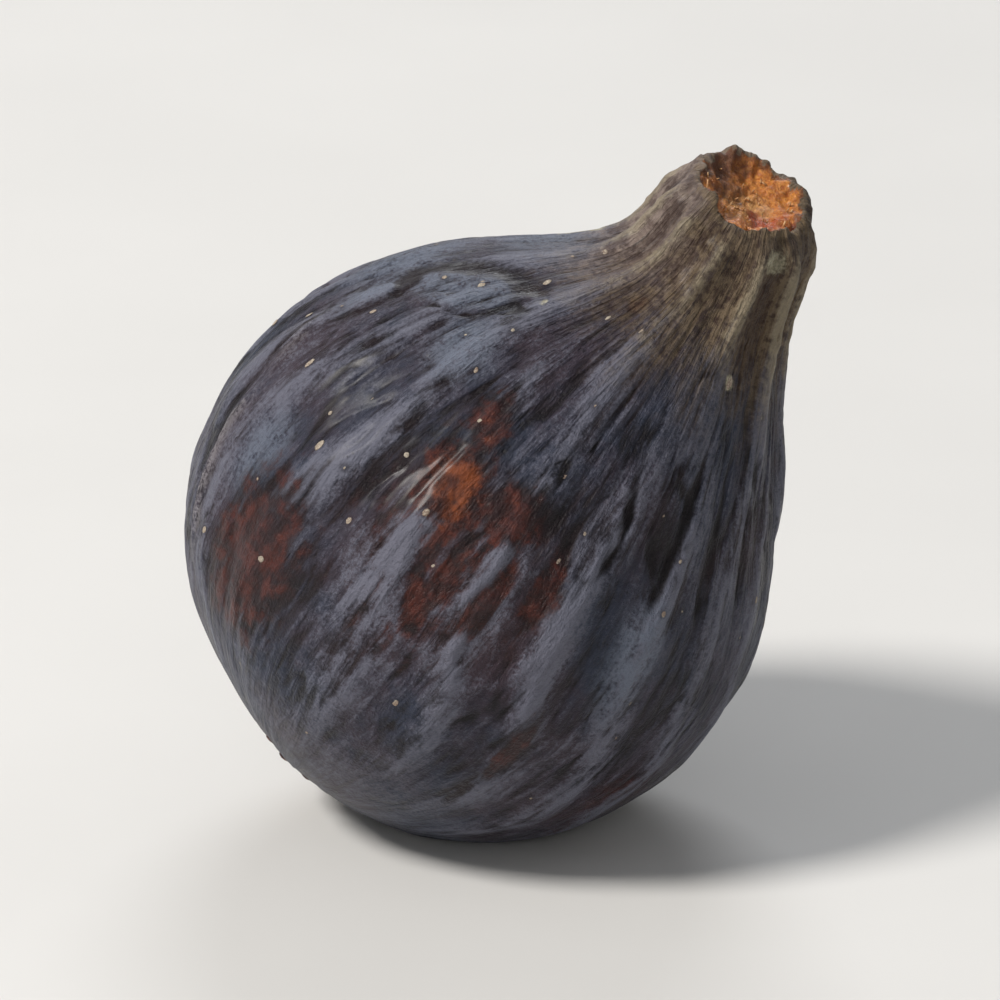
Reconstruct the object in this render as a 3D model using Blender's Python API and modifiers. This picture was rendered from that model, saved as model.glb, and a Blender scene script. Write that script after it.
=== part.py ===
"""A fresh dark fig as picked, resting on a surface with its neck leaning up to the right.

The fruit, its neck and the cut end of its stalk grew as one piece, so they are one solid. It is a
turned profile whose surface carries the ribs, the eye's scales and the torn cut by formula. The neck
is then bent, the fruit leant over, and its underside pressed flat where it rests.

Units are metres and +Z is up. The origin is the middle of the flat spot under the fruit, and the
neck leans towards +X.
"""

import math

import bmesh
import bpy
from mathutils import Matrix, Vector, noise

MM = 0.001

# Driving sizes. The fruit's own axis runs from the eye, at height 0, to the cut end of the stalk.
FIG_WIDTH = 55.0 * MM
FIG_LENGTH = 71.0 * MM
LEAN = math.radians(39.5)  # the body's axis from upright, towards +X
NECK_BEND = math.radians(15.0)  # how far the neck turns back towards upright
NECK_START = 46.0 * MM  # height on the axis where the bend begins
AROUND = 90  # faces round the fruit
MERGE_DISTANCE = 0.01 * MM

# The outline at full size, from the middle of the eye to the middle of the cut: radius and height as
# shares of half the width and of the length, then the number of rings up to the next point.
OUTLINE = (
    (0.000, 0.0150, 3),  # middle of the eye
    (0.060, 0.0095, 3),
    (0.120, 0.0000, 3),  # lip of the eye
    (0.180, 0.0055, 2),
    (0.300, 0.0175, 3),
    (0.520, 0.0540, 3),
    (0.745, 0.1180, 3),
    (0.908, 0.2020, 3),
    (0.986, 0.2960, 3),
    (1.000, 0.3800, 3),  # widest
    (0.966, 0.4750, 3),
    (0.875, 0.5680, 3),
    (0.735, 0.6540, 3),
    (0.565, 0.7330, 3),
    (0.405, 0.8040, 3),
    (0.312, 0.8620, 2),
    (0.278, 0.9120, 2),  # the neck
    (0.266, 0.9500, 2),
    (0.236, 0.9820, 2),
    (0.196, 1.0000, 2),  # rim of the cut
    (0.158, 0.9950, 2),
    (0.085, 0.9830, 2),
    (0.000, 0.9790, 0),  # middle of the cut
)

# Ribs that run from the neck to the eye: narrow crests with broad hollows between them.
NECK_RIBS = 11
NECK_RIB_RELIEF = 0.75 * MM
NECK_RIBS_FROM = 42.0 * MM
NECK_RIBS_FULL = 62.0 * MM
NECK_RIBS_END = 67.0 * MM
NECK_RIB_FADE = 0.85  # share of the neck ribs that is gone at the rim of the cut
BODY_RIBS = 19
BODY_RIB_RELIEF = 0.36 * MM
BODY_RIBS_FROM = 3.0 * MM
BODY_RIBS_FULL = 18.0 * MM
RIB_STRENGTH = 0.8
RIB_UNEVENNESS = 0.9
RIB_WANDER = 2.2  # radians that a neck rib's phase drifts
BODY_RIB_WANDER = 4.4
RIB_WANDER_PITCH = 28.0 * MM
RIB_UNEVENNESS_PITCH = 13.0 * MM
RIB_FREE_RADIUS = 2.7 * MM  # no ribs closer to the axis than this

# The shoulder on the upper side of the lean stands fuller than the lower one.
SHOULDER_SHIFT = 2.6 * MM
SHOULDER_BELOW = (0.08 * FIG_LENGTH, 0.60 * FIG_LENGTH)
SHOULDER_ABOVE = (0.69 * FIG_LENGTH, 0.90 * FIG_LENGTH)
LOWER_SIDE_SHARE = 0.25  # share of that shift on the lower side

# Broad, shallow unevenness of the whole fruit.
SWELL_RELIEF = 1.0 * MM
SWELL_PITCH = 24.0 * MM

# The eye: two whorls of small scales that close the opening in the base. Each whorl has its number
# of scales, its inner and outer radius, its relief and the angle of its first scale.
EYE_WHORLS = (
    (8, 1.9 * MM, 3.9 * MM, 0.45 * MM, 0.0),
    (5, 0.4 * MM, 1.8 * MM, 0.40 * MM, 0.5),
)
EYE_DEPTH = 2.0 * MM
SCALE_EDGE = 0.45 * MM

# The torn, dished cut of the stalk. Its plane slants down towards -Y.
CUT_SLANT = math.radians(15.0)
SLANT_FROM = 0.90 * FIG_LENGTH
CUT_RADIUS = 5.4 * MM
CUT_RIM_RADIUS = 7.0 * MM  # where the torn relief has faded out
CUT_HEIGHT = 0.965 * FIG_LENGTH
CUT_RELIEF = 0.8 * MM
CUT_PITCH = 2.4 * MM

# The flat spot that the fruit rests on.
PRESSED_FLAT = 1.7 * MM  # how far the underside is pressed in
FLAT_ROUNDING = 0.35 * MM  # how softly the flat spot meets the round fruit

SKIN_COLOUR = (0.062, 0.060, 0.082, 1.0)
SKIN_ROUGHNESS = 0.52


def smooth_step(start, end, value):
    """0 before start and 1 after end, with an even ease between them."""
    share = min(max((value - start) / (end - start), 0.0), 1.0)
    return share * share * (3.0 - 2.0 * share)


def smooth_point(before, start, end, after, share):
    """A point on the smooth curve that runs through start and end."""
    return 0.5 * (
        2.0 * start
        + (end - before) * share
        + (2.0 * before - 5.0 * start + 4.0 * end - after) * share**2
        + (3.0 * start - before - 3.0 * end + after) * share**3
    )


def outline_points():
    """The outline as points in the XZ plane, smooth through the points that shape it."""
    shaped = [Vector((r * FIG_WIDTH / 2, 0.0, h * FIG_LENGTH)) for r, h, _ in OUTLINE]
    # The curve carries on past both ends as its own reflection, so that it meets the axis squarely.
    first = Vector((-shaped[1].x, 0.0, shaped[1].z))
    last = Vector((-shaped[-2].x, 0.0, shaped[-2].z))
    guides = [first, *shaped, last]
    points = []
    for index, (_, _, rings) in enumerate(OUTLINE[:-1]):
        points += [smooth_point(*guides[index : index + 4], step / rings) for step in range(rings)]
    points.append(shaped[-1])
    return points


def turned_fruit():
    """The outline turned once round the fruit's axis, as a closed bmesh."""
    points = outline_points()
    points.reverse()  # from the top down, so that the faces point out
    outline = bpy.data.meshes.new("outline")
    outline.from_pydata(points, [(index, index + 1) for index in range(len(points) - 1)], [])
    turning = bpy.data.objects.new("outline", outline)
    bpy.context.scene.collection.objects.link(turning)
    screw = turning.modifiers.new("turn", "SCREW")
    screw.steps = AROUND
    screw.render_steps = AROUND
    screw.use_merge_vertices = True
    screw.merge_threshold = MERGE_DISTANCE
    evaluated = turning.evaluated_get(bpy.context.evaluated_depsgraph_get())
    turned = bpy.data.meshes.new_from_object(evaluated)
    fruit = bmesh.new()
    fruit.from_mesh(turned)
    bmesh.ops.remove_doubles(fruit, verts=fruit.verts, dist=MERGE_DISTANCE)
    bmesh.ops.recalc_face_normals(fruit, faces=fruit.faces)
    bpy.data.objects.remove(turning)
    bpy.data.meshes.remove(outline)
    bpy.data.meshes.remove(turned)
    return fruit


def crests(count, around, drift):
    """From -0.5 in the middle of a broad hollow to 1 on a narrow crest."""
    wave = 0.5 + 0.5 * math.cos(count * around + drift)
    return 1.5 * wave**2 - 0.5


def rib_relief(around, place):
    """Ribs: a few strong ones on the neck, which give way to more and fainter ones on the body."""
    drift = noise.noise(place / RIB_WANDER_PITCH)
    strength = RIB_STRENGTH + RIB_UNEVENNESS * noise.noise(place / RIB_UNEVENNESS_PITCH)
    on_neck = smooth_step(NECK_RIBS_FROM, NECK_RIBS_FULL, place.z)
    on_body = smooth_step(BODY_RIBS_FROM, BODY_RIBS_FULL, place.z) * (1.0 - on_neck)
    fading = 1.0 - NECK_RIB_FADE * smooth_step(NECK_RIBS_END, FIG_LENGTH, place.z)
    neck_ribs = NECK_RIB_RELIEF * on_neck * fading * crests(NECK_RIBS, around, RIB_WANDER * drift)
    body_ribs = BODY_RIB_RELIEF * on_body * crests(BODY_RIBS, around, BODY_RIB_WANDER * drift)
    return strength * (neck_ribs + body_ribs)


def eye_relief(around, place, radius):
    """The scales in and round the eye, each rising from a groove beside it to its rounded back."""
    if place.z > EYE_DEPTH:
        return 0.0
    relief = 0.0
    for scales, inner, outer, height, turn in EYE_WHORLS:
        back = abs(math.cos(scales * (around - turn) / 2))
        tip = inner + (1.0 - back) * SCALE_EDGE
        covers = smooth_step(tip, tip + SCALE_EDGE, radius)
        covers *= 1.0 - smooth_step(outer - SCALE_EDGE, outer, radius)
        relief += height * covers * back
    return relief


def cut_relief(place, radius):
    """The torn surface of the cut."""
    if place.z < CUT_HEIGHT:
        return 0.0
    torn = 1.0 - smooth_step(CUT_RADIUS, CUT_RIM_RADIUS, radius)
    return CUT_RELIEF * torn * noise.noise(place / CUT_PITCH)


def shape_skin(fruit):
    """Moves each point of the turned fruit out or in along its normal by the surface's relief."""
    fruit.normal_update()
    for vert in fruit.verts:
        place = vert.co.copy()
        radius = math.hypot(place.x, place.y)
        around = math.atan2(place.y, place.x)
        relief = SWELL_RELIEF * noise.noise(place / SWELL_PITCH)
        relief += rib_relief(around, place) * smooth_step(RIB_FREE_RADIUS, CUT_RADIUS, radius)
        relief += eye_relief(around, place, radius)
        relief += cut_relief(place, radius)
        vert.co = place + vert.normal * relief


def fill_shoulder(fruit):
    """Moves the body towards -X, its upper side the most."""
    for vert in fruit.verts:
        place = vert.co
        share = smooth_step(*SHOULDER_BELOW, place.z) * (1.0 - smooth_step(*SHOULDER_ABOVE, place.z))
        upper_side = 0.5 - 0.5 * math.cos(math.atan2(place.y, place.x))
        side_share = LOWER_SIDE_SHARE + (1.0 - LOWER_SIDE_SHARE) * upper_side
        vert.co.x -= SHOULDER_SHIFT * share * side_share


def slant_cut(fruit):
    """Lowers the near side of the cut, so that its plane slants."""
    for vert in fruit.verts:
        share = smooth_step(SLANT_FROM, FIG_LENGTH, vert.co.z)
        vert.co.z += share * vert.co.y * math.tan(CUT_SLANT)


def bend_neck(fruit):
    """Turns the neck towards -X along an arc that starts where the neck leaves the body."""
    arc_radius = (FIG_LENGTH - NECK_START) / NECK_BEND
    for vert in fruit.verts:
        past = vert.co.z - NECK_START
        if past <= 0.0:
            continue
        turned = past / arc_radius
        reach = arc_radius + vert.co.x
        vert.co.x = reach * math.cos(turned) - arc_radius
        vert.co.z = NECK_START + reach * math.sin(turned)


def pressed(height, floor):
    """The height of a point once everything below the floor is pressed up to it."""
    above = height - floor
    if above >= FLAT_ROUNDING:
        return height
    if above <= -FLAT_ROUNDING:
        return floor
    return floor + (above + FLAT_ROUNDING) ** 2 / (4.0 * FLAT_ROUNDING)


def rest_on_floor(fruit):
    """Leans the fruit over, presses its underside flat and puts the flat spot's middle at the origin."""
    bmesh.ops.transform(fruit, matrix=Matrix.Rotation(LEAN, 4, "Y"), verts=fruit.verts)
    floor = min(vert.co.z for vert in fruit.verts) + PRESSED_FLAT
    for vert in fruit.verts:
        vert.co.z = pressed(vert.co.z, floor)
    spot = [vert.co for vert in fruit.verts if vert.co.z <= floor]
    middle = Vector(
        [(min(co[axis] for co in spot) + max(co[axis] for co in spot)) / 2 for axis in range(3)]
    )
    bmesh.ops.translate(fruit, vec=-middle, verts=fruit.verts)


def skin_material():
    """Dark purple skin under a thin blue-grey bloom, as one even finish."""
    material = bpy.data.materials.new("fig_skin")
    material.use_nodes = True
    shader = material.node_tree.nodes["Principled BSDF"]
    shader.inputs["Base Color"].default_value = SKIN_COLOUR
    shader.inputs["Roughness"].default_value = SKIN_ROUGHNESS
    shader.inputs["Metallic"].default_value = 0.0
    material.diffuse_color = SKIN_COLOUR
    return material


def clear_scene():
    for obj in list(bpy.data.objects):
        bpy.data.objects.remove(obj)


def main():
    clear_scene()
    fruit = turned_fruit()
    shape_skin(fruit)
    fill_shoulder(fruit)
    slant_cut(fruit)
    bend_neck(fruit)
    rest_on_floor(fruit)
    mesh = bpy.data.meshes.new("fig")
    fruit.to_mesh(mesh)
    fruit.free()
    mesh.materials.append(skin_material())
    mesh.shade_smooth()
    parts = bpy.data.collections.new("fresh_fig")
    bpy.context.scene.collection.children.link(parts)
    parts.objects.link(bpy.data.objects.new("fig", mesh))


main()
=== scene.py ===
import math
import random
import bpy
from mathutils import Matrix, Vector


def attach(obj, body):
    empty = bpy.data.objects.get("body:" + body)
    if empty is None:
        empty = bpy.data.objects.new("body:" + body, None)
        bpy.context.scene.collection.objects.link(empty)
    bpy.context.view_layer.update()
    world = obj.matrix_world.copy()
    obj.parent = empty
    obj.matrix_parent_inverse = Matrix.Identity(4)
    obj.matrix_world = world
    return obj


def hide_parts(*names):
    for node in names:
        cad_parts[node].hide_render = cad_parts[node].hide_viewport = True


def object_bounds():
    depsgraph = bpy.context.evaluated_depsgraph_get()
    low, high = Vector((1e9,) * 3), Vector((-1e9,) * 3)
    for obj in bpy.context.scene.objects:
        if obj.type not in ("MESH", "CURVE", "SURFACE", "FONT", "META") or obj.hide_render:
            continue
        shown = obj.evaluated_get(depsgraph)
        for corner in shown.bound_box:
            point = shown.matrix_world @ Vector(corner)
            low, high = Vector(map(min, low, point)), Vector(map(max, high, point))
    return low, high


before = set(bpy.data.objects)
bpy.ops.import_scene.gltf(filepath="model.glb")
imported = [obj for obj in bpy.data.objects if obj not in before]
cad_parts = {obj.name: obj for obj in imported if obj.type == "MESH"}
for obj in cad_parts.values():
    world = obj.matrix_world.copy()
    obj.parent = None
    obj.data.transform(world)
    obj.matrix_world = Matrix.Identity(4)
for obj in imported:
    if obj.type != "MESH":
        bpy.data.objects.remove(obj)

from types import SimpleNamespace

import bmesh
import bpy
from mathutils import Matrix, Vector, noise
from mathutils.kdtree import KDTree

cadLow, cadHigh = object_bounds()
mm = 0.001
print("frame loaded, fig is", [round(side / mm, 1) for side in cadHigh - cadLow], "mm")


# Small helpers for shapes

def smoothStep(start, end, value):
    share = min(max((value - start) / (end - start), 0.0), 1.0)
    return share * share * (3.0 - 2.0 * share)


def smoothPoint(before, start, end, after, share):
    # a point between start and end on the smooth curve that runs through both
    return 0.5 * (
        2.0 * start
        + (end - before) * share
        + (2.0 * before - 5.0 * start + 4.0 * end - after) * share**2
        + (3.0 * start - before - 3.0 * end + after) * share**3
    )


def spinOutline(shape, points, steps, nearest):
    # the line through the points turned once round the Z axis, with points nearer than that joined
    edges = [shape.edges.new(pair) for pair in zip(points, points[1:])]
    bmesh.ops.spin(
        shape,
        geom=points + edges,
        cent=(0.0, 0.0, 0.0),
        axis=(0.0, 0.0, 1.0),
        angle=math.tau,
        steps=steps,
        use_merge=True,
    )
    bmesh.ops.remove_doubles(shape, verts=shape.verts, dist=nearest)
    bmesh.ops.recalc_face_normals(shape, faces=shape.faces)


def addPiece(name, shape, materials):
    mesh = bpy.data.meshes.new(name)
    shape.to_mesh(mesh)
    shape.free()
    mesh.shade_smooth()
    for material in materials:
        mesh.materials.append(material)
    piece = bpy.data.objects.new(name, mesh)
    bpy.context.scene.collection.objects.link(piece)
    return piece


# Shader maths: a Wire is one output of a node, and a Finish is one material

class Wire:
    def __init__(self, finish, socket):
        self.finish = finish
        self.socket = socket

    def maths(self, operation, left, right):
        return self.finish.add("ShaderNodeMath", {"operation": operation}, {0: left, 1: right})

    def __add__(self, other):
        return self.maths("ADD", self, other)

    def __radd__(self, other):
        return self.maths("ADD", other, self)

    def __sub__(self, other):
        return self.maths("SUBTRACT", self, other)

    def __rsub__(self, other):
        return self.maths("SUBTRACT", other, self)

    def __mul__(self, other):
        return self.maths("MULTIPLY", self, other)

    def __rmul__(self, other):
        return self.maths("MULTIPLY", other, self)


class Finish:
    def __init__(self, name):
        self.material = bpy.data.materials.new(name)
        self.material.use_nodes = True
        self.tree = self.material.node_tree
        self.shader = self.tree.nodes["Principled BSDF"]
        self.place = self.add("ShaderNodeTexCoord", {}, {}, "Object")

    def add(self, kind, settings, inputs, output=0):
        node = self.tree.nodes.new(kind)
        for setting, value in settings.items():
            setattr(node, setting, value)
        for name, value in inputs.items():
            self.plug(node.inputs[name], value)
        return Wire(self, node.outputs[output])

    def plug(self, socket, value):
        if isinstance(value, Wire):
            self.tree.links.new(value.socket, socket)
        else:
            socket.default_value = value

    def surface(self, inputs):
        for name, value in inputs.items():
            self.plug(self.shader.inputs[name], value)

    def field(self, name):
        return self.add("ShaderNodeAttribute", {"attribute_name": name}, {}, "Fac")

    def stretched(self, name, stretch):
        # a vector attribute of the mesh, scaled along each axis
        place = self.add("ShaderNodeAttribute", {"attribute_name": name}, {}, "Vector")
        return self.add("ShaderNodeVectorMath", {"operation": "MULTIPLY"}, {0: place, 1: stretch})

    def cloud(self, pitch, detail=2.0, roughness=0.5, place=None, distortion=0.0):
        # about -0.5 to 0.5, with spots the size of pitch
        inputs = {
            "Vector": place or self.place,
            "Scale": 1.0 / pitch,
            "Detail": detail,
            "Roughness": roughness,
            "Distortion": distortion,
        }
        return self.add("ShaderNodeTexNoise", {}, inputs, 0) - 0.5

    def cells(self, pitch):
        # how far off the nearest of many scattered points is, where pitch counts as 1
        return self.add("ShaderNodeTexVoronoi", {}, {"Vector": self.place, "Scale": 1.0 / pitch}, "Distance")

    def step(self, start, end, value):
        # 0 before start and 1 after end
        settings = {"interpolation_type": "SMOOTHSTEP", "clamp": True}
        return self.add("ShaderNodeMapRange", settings, {0: value, 1: start, 2: end, 3: 0.0, 4: 1.0})

    def mix(self, share, first, second):
        # colours: all first at share 0, all second at share 1
        settings = {"data_type": "RGBA", "clamp_factor": True}
        return self.add("ShaderNodeMix", settings, {0: share, 6: first, 7: second}, 2)

    def bump(self, height, depth):
        return self.add("ShaderNodeBump", {}, {"Height": height, "Distance": depth, "Strength": 1.0})


def paint(red, green, blue, light=1.0):
    # a colour as a picture editor shows it, 0 to 255, made lighter or darker
    def linear(level):
        level = level / 255.0
        return light * (level / 12.92 if level <= 0.04045 else ((level + 0.055) / 1.055) ** 2.4)

    return (linear(red), linear(green), linear(blue), 1.0)


# The fruit: the same turned outline, ribs and bend as its solid, on a finer mesh

fruit = {
    "width": 55.0 * mm,
    "length": 71.0 * mm,
    "lean": math.radians(39.5),
    "neckBend": math.radians(15.0),
    "neckStart": 46.0 * mm,
    "shoulderShift": 2.6 * mm,
    "shoulderBelow": (0.08, 0.60),  # shares of the length
    "shoulderAbove": (0.69, 0.90),
    "lowerSideShare": 0.25,
    "pressedFlat": 1.7 * mm,
    "flatRounding": 0.35 * mm,
    "around": 440,
    "ringSpacing": 0.52 * mm,
    "fineSpacing": 0.22 * mm,  # in the eye and on the cut
    "outerSide": 3.0 * mm,  # the patches of the skin lie beyond this radius
    "oliveSide": math.radians(-40.0),  # the neck is olive on this side and tan on the other
    "outline": (  # radius and height, as shares of half the width and of the length
        (0.000, 0.0150), (0.060, 0.0095), (0.120, 0.0000), (0.180, 0.0055), (0.300, 0.0175),
        (0.520, 0.0540), (0.745, 0.1180), (0.908, 0.2020), (0.986, 0.2960), (1.000, 0.3800),
        (0.966, 0.4750), (0.875, 0.5680), (0.735, 0.6540), (0.565, 0.7330), (0.405, 0.8040),
        (0.312, 0.8620), (0.278, 0.9120), (0.266, 0.9500), (0.236, 0.9820), (0.196, 1.0000),
        (0.158, 0.9950), (0.085, 0.9830), (0.000, 0.9790),
    ),
    "lastOfEye": 3,  # guide points up to here are the eye
    "firstOfCut": 19,  # and from here on the cut
}

ribs = {
    "onNeck": 11,
    "neckRelief": 0.75 * mm,
    "neckFrom": 42.0 * mm,
    "neckFull": 62.0 * mm,
    "neckEnd": 67.0 * mm,
    "neckFade": 0.85,
    "onBody": 19,
    "bodyRelief": 0.36 * mm,
    "bodyFrom": 3.0 * mm,
    "bodyFull": 18.0 * mm,
    "strength": 0.8,
    "unevenness": 0.9,
    "wander": 2.2,
    "bodyWander": 4.4,
    "wanderPitch": 28.0 * mm,
    "unevennessPitch": 13.0 * mm,
    "freeRadius": 2.7 * mm,
    "swell": 1.0 * mm,
    "swellPitch": 24.0 * mm,
    "noteUnit": 0.4 * mm,  # the relief that the materials take as 1
}

cut = {
    "slant": math.radians(15.0),
    "slantFrom": 0.90,
    "radius": 5.4 * mm,
    "rimRadius": 7.0 * mm,
    "height": 0.965,
    "relief": 0.8 * mm,
    "pitch": 2.4 * mm,
    "fineRelief": 0.34 * mm,
    "finePitch": 0.7 * mm,
    "raggedRim": 0.55 * mm,
    "raggedPitch": 1.5 * mm,
    "rimRadii": (3.6 * mm, 5.2 * mm),  # the ragged rim comes in between these
    "rimHeights": (0.972, 0.995),  # and between these, as shares of the length
    "tearPitch": 1.0 * mm,  # of the line along which the skin is torn
    "tearWander": 0.75,  # mm
    "tearEdge": (-0.15, 0.25),  # mm across the line, from the skin's level to the flesh
    "tearDepth": 0.32 * mm,  # the skin's edge stands this far above the flesh
}

neckCork = {
    "from": 52.0 * mm,
    "full": 62.0 * mm,
    "lumps": (0.11 * mm, 1.3 * mm),  # height and pitch
    "grains": (0.07 * mm, 0.6 * mm),
    "rings": (0.10 * mm, 5.0, 1.1, 0.0),  # fine wrinkles across the neck, given as the wrinkles below
    "colour": (52.0, 63.0),  # mm: the neck's own colour comes in between these heights
}

eye = {
    "whorls": ((8, 1.9 * mm, 3.9 * mm, 0.12 * mm, 0.0), (5, 0.4 * mm, 1.8 * mm, 0.10 * mm, 0.5)),
    "depth": 2.0 * mm,
    "edge": 0.45 * mm,
}

wrinkles = {
    # how deep, how far apart round the fruit, how long along it, and where the pattern starts
    "coarse": (0.24 * mm, 2.5, 11.0, 3.7),
    "fine": (0.12 * mm, 1.4, 5.0, 41.2),
    "dimples": (0.17 * mm, 3.2, 6.5, 7.3),  # the skin is a little hammered
    "net": (0.32 * mm, 3.3, 7.0, 17.3),  # low ridges that join in a net
    "width": 0.15,  # of a furrow, as the level of noise that it takes up
    "netWidth": 0.24,
    "patchPitch": 17.0 * mm,  # of the areas with more and fewer wrinkles
    "patchEdges": (-0.25, 0.35),
    "fewest": 0.35,  # how much of their depth is left in the smoother areas
    "comeIn": (4.0 * mm, 16.0 * mm),  # heights between which they come in and fade out
    "fadeOut": (60.0 * mm, 68.0 * mm),
    # one long raised fold down the upper left side: heights and angles
    "fold": (
        (9.0, -158.0), (15.0, -161.0), (22.0, -163.0),
        (29.0, -164.5), (36.0, -169.0), (44.0, -180.0),
    ),
    "foldHeight": 0.42 * mm,
    "foldWidth": 0.95 * mm,
    "foldEnds": (8.0, 10.0),  # how long it takes to rise and to fade, in mm
    "foldWander": (0.9 * mm, 6.0),  # to either side, and the pitch in mm
    "foldUneven": (0.75, 1.0, 5.0),  # its strength, how much that changes, and the pitch in mm
    "besideFold": (-1.9, 0.36 * mm, 0.85 * mm),  # the furrow next to it: how far off in mm, depth, width
}

rubbed = {
    # patches without bloom: angle, height, half sizes round and along the fruit, turn, orange share, dent
    "patches": (
        (-138.5, 19.2, 6.2, 9.4, 8.0, 0.12, 0.15),
        (-112.5, 37.2, 4.3, 6.0, 24.0, 0.95, 0.08),
        (-116.0, 43.0, 2.2, 4.2, 24.0, 0.40, 0.08),
        (-100.0, 38.6, 3.6, 3.6, 0.0, 0.34, 0.06),
        (-102.5, 28.5, 1.7, 5.6, -4.0, 0.16, 0.08),
        (-93.0, 31.0, 1.5, 5.4, -4.0, 0.10, 0.08),
        (-84.5, 34.5, 1.9, 5.2, 0.0, 0.28, 0.06),
        (-120.0, 58.4, 1.0, 1.8, 20.0, 0.1, 0.06),
        (-70.0, 21.0, 1.3, 5.4, 6.0, 0.06, 0.06),
        (66.0, 30.0, 4.2, 7.0, 20.0, 0.45, 0.15),
        (84.0, 42.0, 1.8, 4.0, 10.0, 0.20, 0.06),
        (118.0, 22.0, 2.8, 7.0, -8.0, 0.14, 0.10),
        (152.0, 40.0, 2.2, 5.6, 12.0, 0.18, 0.10),
        (12.0, 33.0, 2.4, 5.4, 0.0, 0.10, 0.08),
    ),
    # long narrow furrows on the side that faces the neck's bend: angle, height, half sizes, turn
    "furrows": (
        (-32.0, 47.0, 1.00, 12.0, 2.0),
        (-47.0, 43.0, 0.85, 11.0, 0.0),
        (-61.0, 45.0, 0.95, 11.0, -3.0),
        (-77.0, 43.0, 0.85, 9.0, 3.0),
        (-94.0, 50.0, 0.55, 5.0, 0.0),
        (-110.0, 51.0, 0.90, 4.5, 0.0),
        (-119.0, 47.5, 0.60, 4.0, 0.0),
        (40.0, 46.0, 0.65, 9.0, -3.0),
        (88.0, 49.0, 0.60, 6.0, 3.0),
        (131.0, 46.0, 0.60, 8.0, 0.0),
    ),
    "furrowDepth": 0.42 * mm,
    "furrowUneven": (0.8, 0.9, 3.0 * mm),  # strength, how much that changes, and the pitch
    # areas where red shows through the bloom
    "warm": (
        (-104.0, 30.0, 13.0, 13.0, 0.0),
        (-140.0, 16.0, 6.0, 9.0, 0.0),
        (66.0, 28.0, 11.0, 12.0, 0.0),
        (150.0, 32.0, 8.0, 12.0, 0.0),
        (-30.0, 18.0, 9.0, 9.0, 0.0),
    ),
    # where the net of ridges lies
    "netted": (
        (-101.0, 29.0, 13.0, 12.0, 0.0),
        (66.0, 28.0, 11.0, 12.0, 0.0),
        (150.0, 32.0, 8.0, 12.0, 0.0),
    ),
    # where the bloom lies thick and bluish, with a pale painted highlight on it
    "frost": (
        (168.0, 56.5, 6.0, 7.0, 0.0),
        (172.0, 45.0, 8.0, 8.0, 0.0),
        (-172.0, 43.0, 2.4, 6.0, 10.0),
        (-137.0, 45.5, 3.4, 5.0, 20.0),
        (-150.0, 26.0, 3.0, 5.0, 0.0),
        (-60.0, 34.0, 3.0, 7.0, 4.0),
        (100.0, 34.0, 4.0, 7.0, 0.0),
    ),
    # pale marks on and below the neck
    "pale": (
        (-52.0, 68.2, 1.7, 1.6, 0.0),
        (-12.0, 60.0, 0.75, 4.6, 0.0),
        (-28.0, 57.0, 0.5, 3.0, 0.0),
        (-58.0, 56.7, 0.7, 0.9, 0.0),
        (70.0, 62.0, 0.8, 4.0, 0.0),
        (160.0, 58.0, 0.6, 3.4, 0.0),
    ),
    # levels of an oval between which each kind of patch comes in
    "edges": {
        "furrows": (-0.1, 0.8),
        "ember": (0.0, 0.85),
        "dent": (0.0, 0.6),
        "mark": (0.0, 0.8),
        "crack": (0.0, 0.5),
        "warm": (0.0, 0.6),
        "netted": (0.0, 0.5),
        "frost": (-0.3, 0.7),
    },
}

# an oval mark high on the left: a broad dark band above and a thin one below a bloomed island
ovalMark = {
    "oval": (-157.0, 48.3, 4.6, 9.2, -36.0),  # as the ovals of the rubbed skin
    "run": 0.84,  # where the band runs, as a share of the oval's half sizes
    "above": 0.44,  # its half width on the upper side
    "below": 0.11,
    "change": (0.15, -0.55),  # across the oval, where it goes from the lower width to the upper one
    "inwards": 0.16,  # how much nearer to the middle the lower side runs
    "taper": 0.75,  # of the upper side towards its ends
    "wander": (0.10, 3.5 * mm),  # how much, and the pitch
    "uneven": (0.8, 1.6, 2.2 * mm),  # its width, how much more so below, where it breaks up, and the pitch
    "thinnest": 0.01,
    # the island also takes the frost's pale painted highlight
    "island": 0.6,  # bloomed all over within this share of the way to the band
    "dent": 0.34 * mm,
    "crack": (-140.0, 53.2, 0.40, 0.9, 40.0),  # a small pale oval beside it
}

# what each point of the skin notes for the materials, besides its place on the meridians
skinNotes = "rib groove bare ember warm net pale mark frost height fold torn radius side".split()


def outlinePoints():
    # the outline with its distance along the skin, from the middle of the eye
    guides = [
        Vector((radius * fruit["width"] / 2, 0.0, height * fruit["length"]))
        for radius, height in fruit["outline"]
    ]
    before = Vector((-guides[1].x, 0.0, guides[1].z))
    after = Vector((-guides[-2].x, 0.0, guides[-2].z))
    padded = [before, *guides, after]
    points = []
    for index in range(len(guides) - 1):
        fine = index < fruit["lastOfEye"] or index >= fruit["firstOfCut"]
        spacing = fruit["fineSpacing"] if fine else fruit["ringSpacing"]
        rings = max(2, round((guides[index + 1] - guides[index]).length / spacing))
        points += [smoothPoint(*padded[index : index + 4], ring / rings) for ring in range(rings)]
    points.append(guides[-1])
    along = [0.0]
    for start, end in zip(points, points[1:]):
        along.append(along[-1] + (end - start).length)
    return points, along


def surfacePoint(points, angle, height):
    # where the turned outline is at a height on its outer side, with its directions there
    body = [point for point in points if point.x > fruit["outerSide"]]
    nearest = min(range(1, len(body) - 1), key=lambda index: abs(body[index].z - height))
    slope = (body[nearest + 1] - body[nearest - 1]).normalized()
    turn = Matrix.Rotation(math.radians(angle), 3, "Z")
    return turn @ body[nearest], turn @ slope, turn @ Vector((0.0, 1.0, 0.0))


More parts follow.
